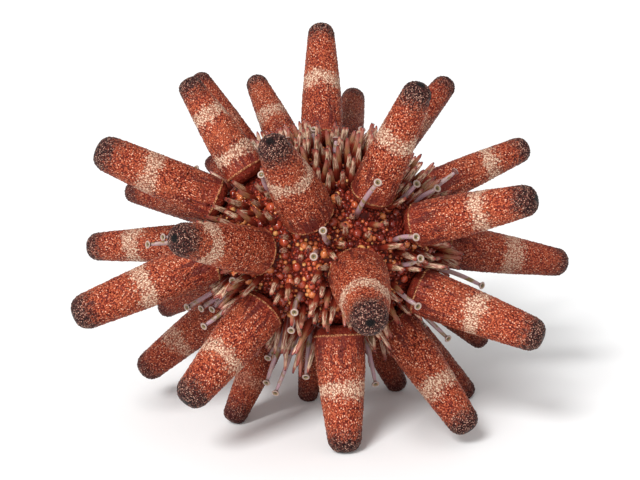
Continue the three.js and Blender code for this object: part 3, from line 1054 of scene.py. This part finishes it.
# A copy of a shape on each point, turned to its arrow and spun round it by chance.
def standingOn(points, shape, scale, arrow="facing"):
    facing = readAttribute(arrow, "FLOAT_VECTOR")
    turn = addNode("FunctionNodeAlignRotationToVector", {"Vector": facing}, axis="Z").outputs["Rotation"]
    spin = combine(z=randomNumber(5, most=2 * math.pi))
    turned = addNode("FunctionNodeRotateRotation", {"Rotation": turn, "Rotate By": spin}, rotation_space="LOCAL")
    placed = addNode("GeometryNodeInstanceOnPoints", {
        "Points": points, "Instance": shape, "Rotation": turned.outputs["Rotation"], "Scale": combine(*scale)})
    return placed.outputs["Instances"]


def smallSpineTree():
    get = newTree("smallSpineTree", {"Radius": "Float"})
    points = addNode("GeometryNodeMeshToPoints", {"Mesh": get["Geometry"]}).outputs["Points"]
    scale = get["Radius"], get["Radius"], readAttribute("stalk")
    placed = standingOn(points, stalkShape(small), scale)
    return endTree(placed, smallSpineSkin)


def makeSmallSpines():
    places = smallSpinePlaces()
    mesh = runTree(pointsObject(places), smallSpineTree(), {"Radius": small["radius"]})
    print("small spines:", len(places), "with", len(mesh.polygons), "faces")
    keepMesh("small_spines", mesh)


makeSmallSpines()


# Tube feet

feet = {
    # azimuth and latitude of the root, azimuth and latitude of the stalk, length in mm
    "places": [
        (-156, 74, -163, 80, 5), (127, 66, 117, 69, 6), (18, 25, 26, 44, 14.9), (51, 29, 49, 43, 7.8),
        (61, 25, 62, 35, 8.6), (2, 12, -9, 31, 10), (-4, 8, -4, 8, 9.6), (37, 10, 38, 18, 8.7), (42, -3, 44, 24, 6.7),
        (41, -16, 44, -22, 8), (79, -13, 79, -18, 14), (67, -32, 69, -39, 14.5), (67, -34, 93, -52, 8.6),
        (-83, -2, -85, 1, 16.8), (-85, 1, -84, 2, 13), (-45, -8, -45, -15, 4.3), (-72, -26, -73, -38, 7.7),
        (-73, -25, -74, -30, 9.7), (-69, -29, -71, -38, 12), (-93, 25, -94, 35, 10.5), (-36, 35, -32, 50, 8.3),
        (-74, -21, -76, -29, 12.3), (-13, -16, -13, -23, 6.5), (-18, -32, -22, -40, 5), (-38, -54, -48, -60, 16),
        (-29, -57, -46, -62, 17.9), (-42, -53, -54, -56, 10.2), (-18, -60, -16, -70, 12.6), (38, -54, 39, -66, 15.7),
    ],
    "radius": 0.74 * mm,
    "profile": [(0.0, 1.0), (0.3, 0.82), (0.85, 0.7), (1.0, 0.5)],
    "bend": 0.7,               # in stalk radii
    "discRadius": 1.0 * mm,
    "discHeight": 0.9 * mm,
    "discSink": 0.25 * mm,     # how far the stalk goes into the cup
    "gaze": 0.9,               # how far each cup turns to the front, or on the back to the rear
    "gazeLatitude": 15,
    "sides": 10,
    "rings": 12,
}


# The feet that the photo shows, and the same again on the hidden side.
def tubeFootPlaces():
    places = []
    for turnRound in (0, 180):
        outward = direction(turnRound, feet["gazeLatitude"])
        for rootAzimuth, rootLatitude, azimuth, latitude, length in feet["places"]:
            root = skinPoint(direction(rootAzimuth + turnRound, rootLatitude))
            along = direction(azimuth + turnRound, latitude)
            if isClear(root, along, length * mm, 0):
                gaze = (along + outward * feet["gaze"]).normalized()
                places.append({"root": root, "facing": along, "stalk": length * mm, "gaze": gaze})
    return places


# The cup at the end of a tube foot, one unit wide and high: a pale rim round a hollow.
def discShape():
    cone = addNode("GeometryNodeMeshCone", {
        "Vertices": 14, "Side Segments": 3, "Fill Segments": 5, "Radius Top": 1.0, "Radius Bottom": 0.55,
        "Depth": 1.0})
    place = separate(nowPosition())
    squareY = times(place["Y"], place["Y"])
    across = sumUp("SQRT", timesPlus(place["X"], place["X"], squareY))
    above = sumUp("GREATER_THAN", place["Z"], 0.9)
    hollow = times(smooth(across, 0.3, 0.75, -0.4, 0.0), above)
    rim = times(smooth(across, 0.8, 1.0, 0.0, -0.25), above)
    shape = store(cone.outputs["Mesh"], "across", across)
    shape = store(shape, "disc", above)
    return shadeSmooth(moved(shape, combine(z=sumUp("ADD", hollow, rim))))


def tubeFootTree():
    get = newTree("tubeFootTree", {"Radius": "Float", "Disc Radius": "Float"})
    points = addNode("GeometryNodeMeshToPoints", {"Mesh": get["Geometry"]}).outputs["Points"]
    length = readAttribute("stalk")
    stalks = standingOn(points, stalkShape(feet, feet["bend"]), (get["Radius"], get["Radius"], length))
    lift = addNode("ShaderNodeVectorMath", {
        0: readAttribute("facing", "FLOAT_VECTOR"),
        "Scale": minus(length, feet["discSink"])}, operation="SCALE").outputs["Vector"]
    discScale = get["Disc Radius"], get["Disc Radius"], feet["discHeight"]
    discs = standingOn(moved(points, lift), discShape(), discScale, arrow="gaze")
    both = addNode("GeometryNodeJoinGeometry")
    fill(both.inputs["Geometry"], stalks)
    fill(both.inputs["Geometry"], discs)
    return endTree(both.outputs["Geometry"], tubeFootSkin)


def makeTubeFeet():
    places = tubeFootPlaces()
    values = {"Radius": feet["radius"], "Disc Radius": feet["discRadius"]}
    mesh = runTree(pointsObject(places), tubeFootTree(), values)
    print("tube feet:", len(places), "with", len(mesh.polygons), "faces")
    keepMesh("tube_feet", mesh)


makeTubeFeet()


# Mouth

def paintNode(name, material):
    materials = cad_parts[name].data.materials
    materials.clear()
    materials.append(material)


def paintMouth():
    paintNode("mouth_membrane", membraneMaterial())
    enamel = toothMaterial()
    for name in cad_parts:
        if name.startswith("tooth_"):
            paintNode(name, enamel)


paintMouth()
print("mouth painted")


# Floor and light

studio = {
    "floorSize": 6,
    "floorColour": (0.93, 0.93, 0.93),
    "sky": 0.60,
    "sun": {"azimuth": -28, "height": 43, "spread": 20, "power": 2.8, "distance": 0.8},
    "side": {"place": (-0.24, -0.62, 0.12), "size": 0.4, "power": 1.6},
}


def makeFloor():
    half = studio["floorSize"] / 2
    mesh = bpy.data.meshes.new("floor")
    mesh.from_pydata([(-half, -half, 0), (half, -half, 0), (half, half, 0), (-half, half, 0)], [], [(0, 1, 2, 3)])
    newMaterial("floorPaint", roughness=0.9)
    mesh.materials.append(paint((*studio["floorColour"], 1)))
    addObject("floor", mesh)


# Every lamp looks at the shell's middle.
def makeLight(name, data, place):
    lamp = bpy.data.objects.new(name, data)
    lamp.location = place
    lamp.rotation_euler = (centre - lamp.location).to_track_quat("-Z", "Y").to_euler()
    bpy.context.collection.objects.link(lamp)


def makeLights():
    settings = studio["sun"]
    sun = bpy.data.lights.new("sun", "SUN")
    sun.energy, sun.angle = settings["power"], math.radians(settings["spread"])
    makeLight("sun", sun, centre + direction(settings["azimuth"], settings["height"]) * settings["distance"])
    settings = studio["side"]
    side = bpy.data.lights.new("side", "AREA")
    side.size, side.energy = settings["size"], settings["power"]
    makeLight("side", side, Vector(settings["place"]))


def makeSky():
    world = bpy.data.worlds.new("studio")
    world.use_nodes = True
    background = world.node_tree.nodes["Background"]
    background.inputs["Color"].default_value = (1, 1, 1, 1)
    background.inputs["Strength"].default_value = studio["sky"]
    bpy.context.scene.world = world
    bpy.context.scene.view_settings.view_transform = "Standard"


makeFloor()
makeLights()
makeSky()
print("studio ready")
